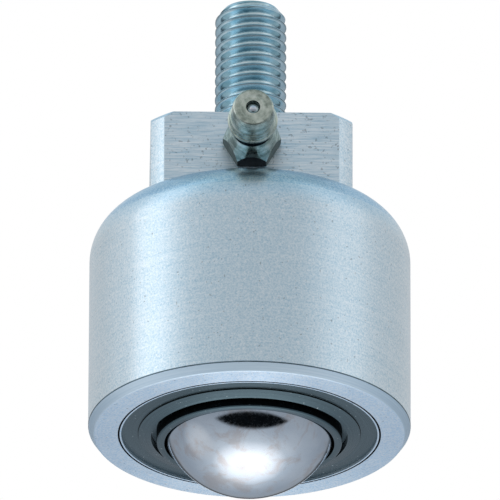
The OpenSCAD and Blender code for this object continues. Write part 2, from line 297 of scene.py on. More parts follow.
def zinc_turned(name, light, dark, smooth_to, rough_to, spread):
    # bright blue zinc plate on turned steel: pale blue metal, fine rings, a soft grain and a few dark specks
    m = new_material(name)
    place, parts, along = turning_coordinates(m)
    # rings left by the tool: the real feed is 0.12 mm, drawn at 0.3 mm so that it shows
    path = stretched(m, parts.outputs["X"], parts.outputs["Y"], along, 45.0, 3300.0)
    rings = add(m, "TexNoise", {"Vector": path, "Scale": 1.0, "Detail": 2.0, "Roughness": 0.6}).outputs["Fac"]
    # the plate's own grain is under 0.05 mm, drawn at 0.26 mm so that it shows
    fine = add(m, "TexNoise", {"Vector": place, "Scale": 3800.0, "Detail": 3.0,
                               "Roughness": 0.8}).outputs["Fac"]
    grain = add(m, "ValToRGB", {"Fac": fine}, stops=[(0.3, 0.2), (0.7, 0.8)]).outputs["Color"]
    # clouds 4 mm wide from the plating bath, and specks of 0.2 mm in a grit spaced 0.4 mm apart
    cloud = add(m, "TexNoise", {"Vector": place, "Scale": 260.0, "Detail": 3.0}).outputs["Fac"]
    grit = add(m, "TexNoise", {"Vector": place, "Scale": 2300.0, "Detail": 1.0}).outputs["Fac"]
    specks = add(m, "ValToRGB", {"Fac": grit}, stops=[
        (0.0, 0.5), (0.24, 0.65), (0.29, 1.0), (1.0, 1.0)]).outputs["Color"]
    plate = add(m, "Mix", {"Factor": cloud, "A": colour(dark), "B": colour(light)},
                data_type="RGBA").outputs["Result"]
    grained = add(m, "Mix", {"Factor": 1.0, "A": plate, "B": grain},
                  data_type="RGBA", blend_type="OVERLAY").outputs["Result"]
    streaked = add(m, "Mix", {"Factor": 0.3, "A": grained, "B": rings},
                   data_type="RGBA", blend_type="OVERLAY").outputs["Result"]
    base = add(m, "Mix", {"Factor": 1.0, "A": streaked, "B": specks},
               data_type="RGBA", blend_type="MULTIPLY").outputs["Result"]
    rough = add(m, "MapRange", {"Value": cloud, "To Min": smooth_to, "To Max": rough_to}).outputs["Result"]
    bump = add(m, "Bump", {"Height": rings, "Strength": 0.35, "Distance": 0.02 * MM}).outputs["Normal"]
    shader = add(m, "BsdfPrincipled", {"Base Color": base, "Metallic": 1.0, "Roughness": rough,
                                       "Normal": bump, **across_rings(m, spread)})
    add(m, "OutputMaterial", {"Surface": shader.outputs["BSDF"]})
    return m


def zinc_milled():
    # the same plate over milled flats: level cutter lines across each flat, and dark pits
    m = new_material("zinc_plated_milled_steel")
    place = add(m, "TexCoord").outputs["Object"]
    # lines 0.15 mm apart and 4 mm long, and pits in a grit spaced 0.5 mm apart
    drawn_out = add(m, "Mapping", {"Vector": place, "Scale": (260.0, 260.0, 6500.0)}).outputs["Vector"]
    strokes = add(m, "TexNoise", {"Vector": drawn_out, "Scale": 1.0, "Detail": 4.0,
                                  "Roughness": 0.75}).outputs["Fac"]
    lines = add(m, "ValToRGB", {"Fac": strokes}, stops=[(0.3, 0.15), (0.7, 0.85)]).outputs["Color"]
    cloud = add(m, "TexNoise", {"Vector": place, "Scale": 400.0, "Detail": 3.0}).outputs["Fac"]
    grit = add(m, "TexNoise", {"Vector": place, "Scale": 2100.0, "Detail": 2.0}).outputs["Fac"]
    specks = add(m, "ValToRGB", {"Fac": grit}, stops=[
        (0.0, 0.4), (0.30, 0.62), (0.38, 1.0), (1.0, 1.0)]).outputs["Color"]
    plate = add(m, "Mix", {"Factor": cloud, "A": colour("C6D6E0"), "B": colour("D6E4EC")},
                data_type="RGBA").outputs["Result"]
    streaked = add(m, "Mix", {"Factor": 1.0, "A": plate, "B": lines},
                   data_type="RGBA", blend_type="OVERLAY").outputs["Result"]
    base = add(m, "Mix", {"Factor": 1.0, "A": streaked, "B": specks},
               data_type="RGBA", blend_type="MULTIPLY").outputs["Result"]
    rough = add(m, "MapRange", {"Value": lines, "To Min": 0.30, "To Max": 0.42}).outputs["Result"]
    bump = add(m, "Bump", {"Height": lines, "Strength": 0.6, "Distance": 0.03 * MM}).outputs["Normal"]
    shader = add(m, "BsdfPrincipled", {"Base Color": base, "Metallic": 1.0, "Roughness": rough,
                                       "Normal": bump})
    add(m, "OutputMaterial", {"Surface": shader.outputs["BSDF"]})
    return m


def zinc_thread():
    # rolled thread under bright blue zinc: smoother, shinier and bluer than the turned faces
    m = new_material("zinc_plated_rolled_thread")
    place = add(m, "TexCoord").outputs["Object"]
    # clouds 2 mm wide in the plate
    cloud = add(m, "TexNoise", {"Vector": place, "Scale": 500.0, "Detail": 3.0}).outputs["Fac"]
    base = add(m, "ValToRGB", {"Fac": cloud}, stops=[
        (0.3, colour("A2C0CA")), (0.7, colour("CBDEE5"))]).outputs["Color"]
    rough = add(m, "MapRange", {"Value": cloud, "To Min": 0.10, "To Max": 0.18}).outputs["Result"]
    bump = add(m, "Bump", {"Height": cloud, "Strength": 0.3, "Distance": 0.03 * MM}).outputs["Normal"]
    shader = add(m, "BsdfPrincipled", {"Base Color": base, "Metallic": 1.0, "Roughness": rough,
                                       "Normal": bump})
    add(m, "OutputMaterial", {"Surface": shader.outputs["BSDF"]})
    return m


def black_oxide():
    # black oxide on turned steel, wiped with oil: slate grey, a soft shine along the rings, pale dust
    m = new_material("black_oxide_turned_steel")
    place, parts, along = turning_coordinates(m)
    # rings of 0.25 mm, coarser than the real feed of 0.1 mm so that they show; dust of 0.1 to 0.3 mm
    path = stretched(m, parts.outputs["X"], parts.outputs["Y"], along, 60.0, 4000.0)
    rings = add(m, "TexNoise", {"Vector": path, "Scale": 1.0, "Detail": 2.0}).outputs["Fac"]
    dust = add(m, "TexNoise", {"Vector": place, "Scale": 3200.0, "Detail": 0.0}).outputs["Fac"]
    flecks = add(m, "ValToRGB", {"Fac": dust}, stops=[
        (0.0, colour("4D5E66")), (0.80, colour("52646C")),
        (0.84, colour("98A4A8")), (1.0, colour("B4BEC2"))]).outputs["Color"]
    base = add(m, "Mix", {"Factor": 0.25, "A": flecks, "B": rings},
               data_type="RGBA", blend_type="OVERLAY").outputs["Result"]
    rough = add(m, "MapRange", {"Value": rings, "To Min": 0.22, "To Max": 0.34}).outputs["Result"]
    bump = add(m, "Bump", {"Height": rings, "Strength": 0.3, "Distance": 0.02 * MM}).outputs["Normal"]
    shader = add(m, "BsdfPrincipled", {"Base Color": base, "Metallic": 1.0, "Roughness": rough,
                                       "Normal": bump, **across_rings(m, 0.6)})
    add(m, "OutputMaterial", {"Surface": shader.outputs["BSDF"]})
    return m


def black_oxide_painted_shade():
    # the same oxide made near black as painted shade and painted dark reflection on the ring's walls and
    # steps, with hardly any shine
    m = new_material("black_oxide_painted_shade_with_dust")
    place = add(m, "TexCoord").outputs["Object"]
    # dust of 0.1 to 0.4 mm
    dust = add(m, "TexNoise", {"Vector": place, "Scale": 2600.0, "Detail": 2.0}).outputs["Fac"]
    base = add(m, "ValToRGB", {"Fac": dust}, stops=[
        (0.3, colour("0E1416")), (0.70, colour("182023")), (0.80, colour("7C868A"))]).outputs["Color"]
    rough = add(m, "MapRange", {"Value": dust, "To Min": 0.38, "To Max": 0.5}).outputs["Result"]
    shader = add(m, "BsdfPrincipled", {"Base Color": base, "Metallic": 1.0, "Roughness": rough})
    add(m, "OutputMaterial", {"Surface": shader.outputs["BSDF"]})
    return m


def painted_shade_steel(name, dark, light):
    # dull dark steel used as painted shade and painted dark reflection: a dark line along an edge or crest,
    # or dark in a groove or recess
    m = new_material(name)
    place = add(m, "TexCoord").outputs["Object"]
    # mottling about 1 mm wide
    mottling = add(m, "TexNoise", {"Vector": place, "Scale": 900.0, "Detail": 3.0}).outputs["Fac"]
    base = add(m, "ValToRGB", {"Fac": mottling}, stops=[
        (0.3, colour(dark)), (0.7, colour(light))]).outputs["Color"]
    rough = add(m, "MapRange", {"Value": mottling, "To Min": 0.35, "To Max": 0.55}).outputs["Result"]
    shader = add(m, "BsdfPrincipled", {"Base Color": base, "Metallic": 1.0, "Roughness": rough})
    add(m, "OutputMaterial", {"Surface": shader.outputs["BSDF"]})
    return m


def zinc_chamfer_painted_light():
    # plate over the coarser cut of the rim's chamfer: more matt than the wall, and a brighter colour that is
    # painted light from below
    m = new_material("zinc_plated_chamfer_painted_light")
    _, parts, along = turning_coordinates(m)
    # the same rings as on the wall
    path = stretched(m, parts.outputs["X"], parts.outputs["Y"], along, 45.0, 3300.0)
    rings = add(m, "TexNoise", {"Vector": path, "Scale": 1.0, "Detail": 2.0}).outputs["Fac"]
    plate = add(m, "ValToRGB", {"Fac": rings}, stops=[
        (0.3, colour("CDE2F1")), (0.7, colour("DEEEFA"))]).outputs["Color"]
    rough = add(m, "MapRange", {"Value": rings, "To Min": 0.45, "To Max": 0.52}).outputs["Result"]
    bump = add(m, "Bump", {"Height": rings, "Strength": 0.3, "Distance": 0.02 * MM}).outputs["Normal"]
    shader = add(m, "BsdfPrincipled", {"Base Color": plate, "Metallic": 1.0, "Roughness": rough,
                                       "Normal": bump, **across_rings(m, 0.8)})
    add(m, "OutputMaterial", {"Surface": shader.outputs["BSDF"]})
    return m


def polished_steel():
    # lapped bearing ball: a near mirror with faint wear marks and soft brownish tarnish from handling
    m = new_material("lapped_bearing_steel")
    place = add(m, "TexCoord").outputs["Object"]
    # haze 5 mm wide, wear marks of 0.7 mm, tarnish in clouds 3 mm wide
    haze = add(m, "TexNoise", {"Vector": place, "Scale": 180.0, "Detail": 4.0}).outputs["Fac"]
    marks = add(m, "TexNoise", {"Vector": place, "Scale": 1500.0, "Detail": 3.0,
                                "Distortion": 1.5}).outputs["Fac"]
    tarnish = add(m, "TexNoise", {"Vector": place, "Scale": 330.0, "Detail": 5.0, "Roughness": 0.65,
                                  "Distortion": 0.6}).outputs["Fac"]
    steel = add(m, "ValToRGB", {"Fac": haze}, stops=[
        (0.3, colour("BCC7D3")), (0.7, colour("D3DAE2"))]).outputs["Color"]
    share = add(m, "ValToRGB", {"Fac": tarnish}, stops=[(0.5, 0.0), (0.62, 0.5)]).outputs["Color"]
    base = add(m, "Mix", {"Factor": share, "A": steel, "B": colour("BDB0AA")},
               data_type="RGBA").outputs["Result"]
    rough = add(m, "MapRange", {"Value": marks, "From Min": 0.35, "From Max": 0.75,
                                "To Min": 0.05, "To Max": 0.14}).outputs["Result"]
    bump = add(m, "Bump", {"Height": marks, "Strength": 0.05, "Distance": 0.02 * MM}).outputs["Normal"]
    shader = add(m, "BsdfPrincipled", {"Base Color": base, "Metallic": 1.0, "Roughness": rough,
                                       "Normal": bump})
    add(m, "OutputMaterial", {"Surface": shader.outputs["BSDF"]})
    return m


def nipple_steel(name, dark, middle, light, ring_share):
    # thin green-grey passivation on a turned nipple: dull, with tool rings round its own axis
    m = new_material(name)
    place = add(m, "TexCoord").outputs["Object"]
    parts = add(m, "SeparateXYZ", {"Vector": place})
    raised = add(m, "Math", {0: parts.outputs["Z"], 1: NIPPLE_Z * MM}, operation="SUBTRACT").outputs[0]
    flat = add(m, "CombineXYZ", {"X": parts.outputs["X"], "Y": raised}).outputs[0]
    out = add(m, "VectorMath", {0: flat}, operation="LENGTH").outputs["Value"]
    along = add(m, "Math", {0: out, 1: parts.outputs["Y"]}, operation="SUBTRACT").outputs[0]
    # rings of 0.28 mm, coarser than the real feed of 0.1 mm so that they show; clouds 1 mm wide
    path = stretched(m, parts.outputs["X"], raised, along, 200.0, 3600.0)
    rings = add(m, "TexNoise", {"Vector": path, "Scale": 1.0, "Detail": 2.0, "Roughness": 0.6}).outputs["Fac"]
    cloud = add(m, "TexNoise", {"Vector": place, "Scale": 900.0, "Detail": 4.0}).outputs["Fac"]
    film = add(m, "ValToRGB", {"Fac": cloud}, stops=[
        (0.3, colour(dark)), (0.5, colour(middle)), (0.7, colour(light))]).outputs["Color"]
    base = add(m, "Mix", {"Factor": ring_share, "A": film, "B": rings},
               data_type="RGBA", blend_type="OVERLAY").outputs["Result"]
    rough = add(m, "MapRange", {"Value": cloud, "To Min": 0.2, "To Max": 0.36}).outputs["Result"]
    bump = add(m, "Bump", {"Height": rings, "Strength": 0.9, "Distance": 0.05 * MM}).outputs["Normal"]
    shader = add(m, "BsdfPrincipled", {"Base Color": base, "Metallic": 1.0, "Roughness": rough,
                                       "Normal": bump})
    add(m, "OutputMaterial", {"Surface": shader.outputs["BSDF"]})
    return m


def hardened_steel():
    # ground and hardened race steel: neutral grey with fine grinding lines
    m = new_material("ground_race_steel")
    place = add(m, "TexCoord").outputs["Object"]
    # lines of 0.4 mm, far coarser than the real ones of 0.02 mm so that they show
    drawn_out = add(m, "Mapping", {"Vector": place, "Scale": (200.0, 200.0, 2500.0)}).outputs["Vector"]
    lines = add(m, "TexNoise", {"Vector": drawn_out, "Scale": 1.0, "Detail": 2.0}).outputs["Fac"]
    base = add(m, "ValToRGB", {"Fac": lines}, stops=[
        (0.3, colour("8D8F93")), (0.7, colour("B2B3B6"))]).outputs["Color"]
    rough = add(m, "MapRange", {"Value": lines, "To Min": 0.2, "To Max": 0.35}).outputs["Result"]
    shader = add(m, "BsdfPrincipled", {"Base Color": base, "Metallic": 1.0, "Roughness": rough})
    add(m, "OutputMaterial", {"Surface": shader.outputs["BSDF"]})
    return m


def wool_felt():
    # pressed wool felt soaked in oil: dark, matt and fibrous
    m = new_material("oiled_wool_felt")
    place = add(m, "TexCoord").outputs["Object"]
    # tufts of 0.3 mm; the single fibres of 0.02 mm are too fine to show
    fibres = add(m, "TexNoise", {"Vector": place, "Scale": 3000.0, "Detail": 5.0,
                                 "Distortion": 2.0}).outputs["Fac"]
    base = add(m, "ValToRGB", {"Fac": fibres}, stops=[
        (0.3, colour("2B2723")), (0.7, colour("5A5248"))]).outputs["Color"]
    bump = add(m, "Bump", {"Height": fibres, "Strength": 0.8, "Distance": 0.1 * MM}).outputs["Normal"]
    shader = add(m, "BsdfPrincipled", {"Base Color": base, "Roughness": 0.9, "Normal": bump,
                                       "Sheen Weight": 0.3})
    add(m, "OutputMaterial", {"Surface": shader.outputs["BSDF"]})
    return m


def dress(piece, *materials):
    piece.data.materials.clear()
    for material in materials:
        piece.data.materials.append(material)


zinc = zinc_turned("zinc_plated_turned_steel", "D8E5EC", "CCDDE7", 0.30, 0.38, 0.75)
# the fillet's plate: its darker, bluer colour is a painted reflection of the bluer light above; its lower
# roughness and spread are its own
fillet_zinc_painted_reflection = zinc_turned("zinc_plated_fillet_painted_reflection", "C6D9E6", "B8CCDA", 0.24, 0.32, 0.2)
milled_zinc = zinc_milled()
thread_zinc = zinc_thread()
oxide = black_oxide()
oxide_painted_shade = black_oxide_painted_shade()
# black painted shade: in the roll groove, and on the nipple behind the hexagon, round the mouth and under the
# hexagon
black_painted_shade = painted_shade_steel("black_painted_shade_steel", "0B1013", "1B2428")
# a dark painted reflection along the thread's crests
crest_painted_dark_line = painted_shade_steel("thread_crest_painted_dark_reflection", "435962", "62808C")
# a dark painted reflection along the top edge of the rim's chamfer
rim_edge_painted_dark_line = painted_shade_steel("rim_edge_painted_dark_reflection", "4C606B", "748995")
# the rim's face: a lighter, bluer copy of the plate, as painted light from below
rim_face_zinc_painted_light = zinc_turned("zinc_plated_rim_face_painted_light", "DAECFB", "CEE1F3", 0.28, 0.36, 0.75)
chamfer_zinc_painted_light = zinc_chamfer_painted_light()
mirror = polished_steel()
passivated = nipple_steel("passivated_turned_steel", "86938A", "B0BBB1", "D8DDD4", 0.9)
tip_face = nipple_steel("passivated_tip_face", "77827A", "AAB3A9", "CBD0C7", 0.5)
# mid-dark painted shade for the nipple's waist under its head and the hexagon's side flats
hex_and_waist_painted_shade = painted_shade_steel("hexagon_and_waist_painted_shade", "39433F", "6E7B73")
race_steel = hardened_steel()
felt = wool_felt()


# ---------- the housing: body and neck in one piece ----------

top_z = -NECK_H
shoulder = (BODY_R - SHOULDER_R, top_z - SHOULDER_R)
housing = turned("housing_turned", [
    (0, RIM_Z), (BODY_R - RIM_CHAMFER_W, RIM_Z), (BODY_R, RIM_Z + RIM_CHAMFER_H)]
    + arc(shoulder, SHOULDER_R, 0, PAINTED_FILLET_START, 6)
    + arc(shoulder, SHOULDER_R, PAINTED_FILLET_START, 90, 14)[1:]
    + [(0, top_z)])
broken_edges(housing, 0.14, segments=3)

neck_foot_z = top_z - 3
neck = turned("neck_blank", [
    (0, neck_foot_z), (NECK_R, neck_foot_z), (NECK_R, -NECK_CHAMFER), (NECK_R - NECK_CHAMFER, 0), (0, 0)])
clear_selection()
bpy.ops.mesh.primitive_cube_add(size=1)
flats = named("neck_flats")
edit(flats)
bpy.ops.transform.resize(value=(2 * NECK_FLAT * MM, 2 * NECK_FLAT * MM, 4 * NECK_H * MM))
combined(neck, flats, "INTERSECT")
broken_edges(neck, 0.12)
combined(housing, neck, "UNION")

bore = turned("bore_cutter", [
    (0, RIM_Z - 1), (LIP_R - 0.12, RIM_Z - 1), (LIP_R - 0.2, OUTER_BAND_Z + 0.05),
    (BORE_R, OUTER_BAND_Z + RING_EDGE), (BORE_R, BALL_Z)]
    + arc((0, BALL_Z), BORE_R, 4, BORE_DOME, 14)
    + [(0, BALL_Z + BORE_R * sine(BORE_DOME))])
combined(housing, bore, "DIFFERENCE")

groove_r = LIP_R + 0.04
groove_edge = groove_r + ROLL_W
groove = turned("roll_groove_cutter", [
    (groove_r - ROLL_LEAN, RIM_Z - 0.2), (groove_r, RIM_Z), (groove_r + ROLL_LEAN, RIM_Z + 0.2),
    (groove_r + ROLL_W / 2, RIM_Z + ROLL_DEPTH),
    (groove_edge - ROLL_LEAN, RIM_Z + 0.2), (groove_edge, RIM_Z), (groove_edge + ROLL_LEAN, RIM_Z - 0.2)],
    closed=True)
combined(housing, groove, "DIFFERENCE")

hole_r = STUD_R - TAP_WALL
sink_r = STUD_R + STUD_SINK
stud_hole = turned("stud_hole_cutter", [
    (0, STUD_FOOT_Z - 1), (hole_r, STUD_FOOT_Z - 1), (hole_r, hole_r - sink_r), (sink_r, 0),
    (sink_r, 1), (0, 1)], steps=SMALL_ROUND)
combined(housing, stud_hole, "DIFFERENCE")

hole_end = NECK_FLAT - SHANK_L - 0.3
nipple_hole = turned("nipple_hole_cutter", [
    (0, hole_end), (SHANK_R + 0.05, hole_end), (SHANK_R + 0.05, NECK_FLAT + 1), (0, NECK_FLAT + 1)], steps=48)
laid_on_nipple_axis(nipple_hole)
combined(housing, nipple_hole, "DIFFERENCE")
smooth(housing)

dress(housing, zinc, milled_zinc, fillet_zinc_painted_reflection, chamfer_zinc_painted_light, rim_edge_painted_dark_line, black_painted_shade, rim_face_zinc_painted_light)
MILLED, FILLET, CHAMFER, PAINTED_EDGE_LINE, GROOVE, FACED = range(1, 7)
for face in housing.data.polygons:
    out = math.hypot(face.center.x, face.center.y) / MM
    high = face.center.z / MM - RIM_Z
    off_middle = max(abs(face.center.x), abs(face.center.y)) / MM
    sideways = max(abs(face.normal.x), abs(face.normal.y))
    # the chamfer gets the brighter plate with painted light
    if out > BODY_R - RIM_CHAMFER_W - 0.05 and high < RIM_CHAMFER_H + 0.1 and -0.9 < face.normal.z < -0.45:
        face.material_index = CHAMFER
    # the chamfer's top edge gets the dark painted reflection line
    if 0.95 < high < 1.2 and -0.45 < face.normal.z < -0.12:
        face.material_index = PAINTED_EDGE_LINE
    # the roll groove gets black painted shade
    if groove_r - 0.01 < out < groove_edge + 0.01 and 0.02 < high < 0.5:
        face.material_index = GROOVE
    # the rim's face gets the plate with painted light
    if out > LIP_R - 0.3 and high < 0.02 and face.normal.z < -0.9:
        face.material_index = FACED
    # the fillet gets the plate with the painted reflection
    on_shoulder = (top_z - SHOULDER_R) * MM < face.center.z < (top_z + 0.02) * MM
    if on_shoulder and face.normal.z > sine(PAINTED_FILLET_START):
        face.material_index = FILLET
    on_neck = face.center.z > (top_z - 1) * MM and NECK_FLAT - 0.15 < off_middle < NECK_FLAT + 0.05
    if on_neck and abs(face.normal.z) < 0.3 and sideways > 0.95:
        face.material_index = MILLED
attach(housing, "housing")
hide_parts("housing")


# ---------- the stud, with its rolled thread ----------

crest = STUD_R - 0.01
root = crest - THREAD_DEPTH
core = turned("stud_threaded", [
    (0, STUD_FOOT_Z), (root, STUD_FOOT_Z), (root, STUD_TIP_Z), (0, STUD_TIP_Z)], steps=SMALL_ROUND)

# half of a tooth by radius and half width, from under the root up to the rounded crest, then its mirror
flank = [(root - 0.15, 0.5525), (root, 0.5525), (root + 0.05, 0.52), (crest - 0.3, 0.33),
         (crest - 0.12, 0.24), (crest - 0.03, 0.14), (crest, 0.06)]
tooth = [(radius, -half) for radius, half in flank] + flank[::-1]
ridge = traced("thread_ridge", [(radius, z - THREAD_PITCH) for radius, z in tooth + tooth[:1]])
clear_selection()
wound(ridge, THREAD_PITCH * MM, turns=int((STUD_TIP_Z + 3) / THREAD_PITCH) + 1, steps=72)
combined(core, ridge, "UNION")

# what is left of the thread: none in the hole, all of it outside, and a chamfer at the tip
blank_r = STUD_R - 0.55
clear_r = STUD_R + 0.3
tip_z = STUD_TIP_Z - 0.02
envelope = turned("stud_envelope", [
    (0, STUD_FOOT_Z - 0.5), (blank_r, STUD_FOOT_Z - 0.5), (blank_r, 0), (clear_r, 0),
    (clear_r, STUD_TIP_Z - 1.85), (STUD_R - 1.12, tip_z), (0, tip_z)], steps=SMALL_ROUND)
combined(core, envelope, "INTERSECT")
smooth(core, 40)

dress(core, thread_zinc, crest_painted_dark_line)
for face in core.data.polygons:
    # the crests get the dark painted reflection line
    if math.hypot(face.center.x, face.center.y) / MM > crest - 0.01:
        face.material_index = 1
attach(core, "housing")
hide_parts("stud")


# ---------- the cover ring, with its groove and collar ----------

bowl_r = BALL_R + BALL_GAP
collar = math.sqrt(bowl_r ** 2 - (BALL_Z - COLLAR_Z) ** 2) + COLLAR_W
groove_out = collar + RING_GROOVE_W
band = groove_out + BAND_W
felt_r = BALL_R + 2.2
bowl_levels = [COLLAR_Z + (FELT_FLOOR_Z - COLLAR_Z) * i / 8 for i in range(9)]
bowl = [(math.sqrt(bowl_r ** 2 - (z - BALL_Z) ** 2), z) for z in bowl_levels]
ring = turned("cover_ring_turned", [
    (RING_R, RING_TOP_Z), (RING_R, OUTER_BAND_Z + 0.75), (RING_R - RING_EDGE, OUTER_BAND_Z + 0.05),
    (band, OUTER_BAND_Z - 0.05), (band - 0.05, OUTER_BAND_Z - 0.28), (groove_out + 0.3, OUTER_BAND_Z - 0.55),
    (groove_out, OUTER_BAND_Z - 0.78), (groove_out, INNER_BAND_Z + 0.6), (collar, INNER_BAND_Z + 0.6),
    (collar, COLLAR_Z + 0.22), (collar - 0.1, COLLAR_Z + 0.06), (collar - 0.3, COLLAR_Z)]
    + bowl + [(felt_r, FELT_FLOOR_Z), (felt_r, RING_TOP_Z)], closed=True)
broken_edges(ring, 0.06)
smooth(ring)

dress(ring, oxide, oxide_painted_shade)
for face in ring.data.polygons:
    out = math.hypot(face.center.x, face.center.y) / MM
    deep = face.center.z / MM
    # the collar's wall, the step at the band's edge and the outer cone get near-black painted shade
    on_collar = collar - 0.03 < out < collar + 0.03 and deep > COLLAR_Z + 0.2
    on_band = band - 0.08 < out < band + 0.03 and OUTER_BAND_Z - 0.3 < deep < OUTER_BAND_Z - 0.07
    if on_collar or on_band or out > RING_R - RING_EDGE:
        face.material_index = 1
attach(ring, "housing")
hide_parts("cover_ring")


# ---------- the grease nipple ----------

hex_corner = HEX_HALF / cosine(30)
hex_front = NECK_FLAT + HEX_PLAIN
waist_start = hex_front + (hex_corner - WAIST_R) / HEX_SLOPE
waist_end = waist_start + WAIST_L
head_start = waist_end + (HEAD_R - WAIST_R)
shank_end = NECK_FLAT - SHANK_L

# the head's outline by how much narrower it is: light steps behind the tip, then the tip's rounding
head_steps = [(0.09, 0.62), (0.15, 0.66), (0.20, 1.1), (0.26, 1.14), (0.33, 1.7), (0.39, 1.74), (0.47, 2.4)]
tip_steps = [(0.59, 0.6), (0.65, 0.45), (0.67, 0.28), (0.75, 0.08), (0.87, 0)]
head = turned("nipple_turned", [
    (0, shank_end), (SHANK_R - 0.6, shank_end), (SHANK_R, shank_end + 0.6), (SHANK_R, NECK_FLAT + 0.3),
    (WAIST_R, NECK_FLAT + 0.3), (WAIST_R, waist_end), (HEAD_R - 0.05, head_start - 0.05),
    (HEAD_R, head_start + 0.05), (HEAD_R, head_start + 0.45)]
    + [(HEAD_R - less, head_start + past) for less, past in head_steps]
    + [(HEAD_R - less, TIP_Y - back) for less, back in tip_steps] + [(0, TIP_Y)], steps=SMALL_ROUND)

clear_selection()
bpy.ops.mesh.primitive_cylinder_add(vertices=6, radius=hex_corner * MM, depth=1)
hexagon = named("nipple_hexagon")
edit(hexagon)
bpy.ops.transform.resize(value=(1, 1, (waist_start - NECK_FLAT) * MM))
bpy.ops.transform.rotate(value=math.pi / 6, orient_axis="Z", center_override=(0, 0, 0))
bpy.ops.transform.translate(value=(0, 0, (waist_start + NECK_FLAT) / 2 * MM))
inner_r = WAIST_R - 0.02
cone = turned("hexagon_cone", [
    (0, NECK_FLAT - 0.5), (hex_corner - 0.2, NECK_FLAT - 0.5), (hex_corner - 0.2, NECK_FLAT),
    (hex_corner + 0.01, NECK_FLAT + 0.2), (hex_corner + 0.01, hex_front),
    (inner_r + 0.32, waist_start - 0.85), (inner_r, waist_start), (inner_r, waist_end), (0, waist_end)],
    steps=SMALL_ROUND)
combined(hexagon, cone, "INTERSECT")
broken_edges(hexagon, 0.06, angle=25)
combined(head, hexagon, "UNION")

mouth_edge_r = MOUTH_R + 0.105
mouth = turned("mouth_cutter", [
    (0, TIP_Y + 0.5), (mouth_edge_r, TIP_Y + 0.5), (mouth_edge_r, TIP_Y), (MOUTH_R, TIP_Y - 0.1),
    (MOUTH_R, TIP_Y - MOUTH_L), (CHAMBER_R, TIP_Y - MOUTH_L - CHAMBER_R + MOUTH_R),
    (CHAMBER_R, shank_end + 0.5), (FEED_R, shank_end + 0.5), (FEED_R, shank_end - 0.5),
    (0, shank_end - 0.5)], steps=64)
combined(head, mouth, "DIFFERENCE")
laid_on_nipple_axis(head)
smooth(head, 25)

dress(head, passivated, tip_face, black_painted_shade, hex_and_waist_painted_shade)
TIP, SHADED, HALF_SHADE = range(1, 4)
for face in head.data.polygons:
    out = math.hypot(face.center.x, face.center.z - NIPPLE_Z * MM) / MM
    ahead = -face.center.y / MM
    if ahead > TIP_Y - 0.02 and face.normal.y < -0.9:
        face.material_index = TIP
    # behind the hexagon: black painted shade; the waist and under the head: mid-dark painted shade
    if waist_start - 0.6 < ahead < head_start - 0.02 and 1.3 < out < HEAD_R - 0.05:
        face.material_index = SHADED if ahead < waist_start + 0.1 else HALF_SHADE
    # round the mouth's edge: black painted shade
    if MOUTH_R + 0.015 < out < mouth_edge_r + 0.01 and ahead > TIP_Y - 0.2:
        face.material_index = SHADED
    # the hexagon's flats: black painted shade on the one underneath, mid-dark painted shade on the others
    if NECK_FLAT < ahead < waist_start and abs(face.normal.y) < 0.05 and out > 3.3:
        face.material_index = SHADED if face.normal.z < -0.9 else HALF_SHADE
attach(head, "housing")
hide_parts("nipple_body")


# ---------- the check ball's spring: a fixed coil; on the real part its turns close up as the ball is pushed in ---

coil_r = (SPRING_HIGH.x - SPRING_LOW.x) / 2 - WIRE_R * MM
back_end = -SPRING_HIGH.y + WIRE_R * MM
ball_end = -SPRING_LOW.y - WIRE_R * MM
clear_selection()
bpy.ops.mesh.primitive_circle_add(vertices=10, radius=WIRE_R * MM)
coil = named("check_spring_coil")
edit(coil)
bpy.ops.transform.rotate(value=math.pi / 2, orient_axis="X", center_override=(0, 0, 0))
bpy.ops.transform.translate(value=(coil_r, 0, back_end))
clear_selection()
wound(coil, (ball_end - back_end) / SPRING_TURNS, turns=SPRING_TURNS, steps=24)
laid_on_nipple_axis(coil)
smooth(coil, 40)
dress(coil, race_steel)
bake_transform(coil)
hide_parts("nipple_spring")


# ---------- finishes of the pieces that keep their machined shape ----------

for name in ["main_ball", "crown_ball", "nipple_ball"] + ["support_balls_row_%d" % i for i in range(1, 7)]:
    dress(nodes[name], mirror)
for name in ["ball_cup", "keeper_ring"]:
    dress(nodes[name], race_steel)
dress(nodes["felt_seal"], felt)
for name in nodes:
    pick(nodes[name])
    bpy.ops.object.shade_smooth_by_angle(angle=math.radians(30))


# ---------- studio: pale floor, a soft white tent, lamps and the camera ----------

# brightness round the tent, by azimuth in degrees, and its tint by elevation
SIDE_LEVELS = [(-156, 0.80), (-130, 0.78), (-106, 0.88), (-86, 1.38), (-68, 1.38), (-46, 0.80), (-28, 0.72),
               (0, 0.69), (36, 0.68), (62, 0.97), (82, 0.97), (104, 0.72), (150, 0.78)]
HEIGHT_TINTS = [(-90, (0.45, 0.5, 0.55, 1)), (-22, (0.5, 0.55, 0.62, 1)), (0, (0.62, 0.66, 0.7, 1)),
                (14, (0.95, 0.97, 1.0, 1)), (28, (1.0, 1.0, 1.0, 1)), (40, (0.72, 0.88, 1.0, 1)),
                (55, (0.65, 0.85, 1.0, 1)), (76, (0.45, 0.62, 0.68, 1)), (90, (0.5, 0.62, 0.66, 1))]

# the soft light from below, by angle off its middle
LOWER_GLOW = [(100, (0.29, 0.32, 0.35, 1)), (77, (0.37, 0.4, 0.44, 1)), (60, (0.44, 0.48, 0.53, 1)),
              (48, (0.52, 0.56, 0.61, 1)), (36, (0.72, 0.77, 0.82, 1)), (27, (1.2, 1.22, 1.25, 1)),
              (14, (1.8, 1.8, 1.8, 1))]

# how strong a dim strip is behind the object, by elevation: it lies just above the level of the table
LOW_STRIP = [(2, 0.0), (6, 0.85), (13, 0.85), (17, 0.0)]


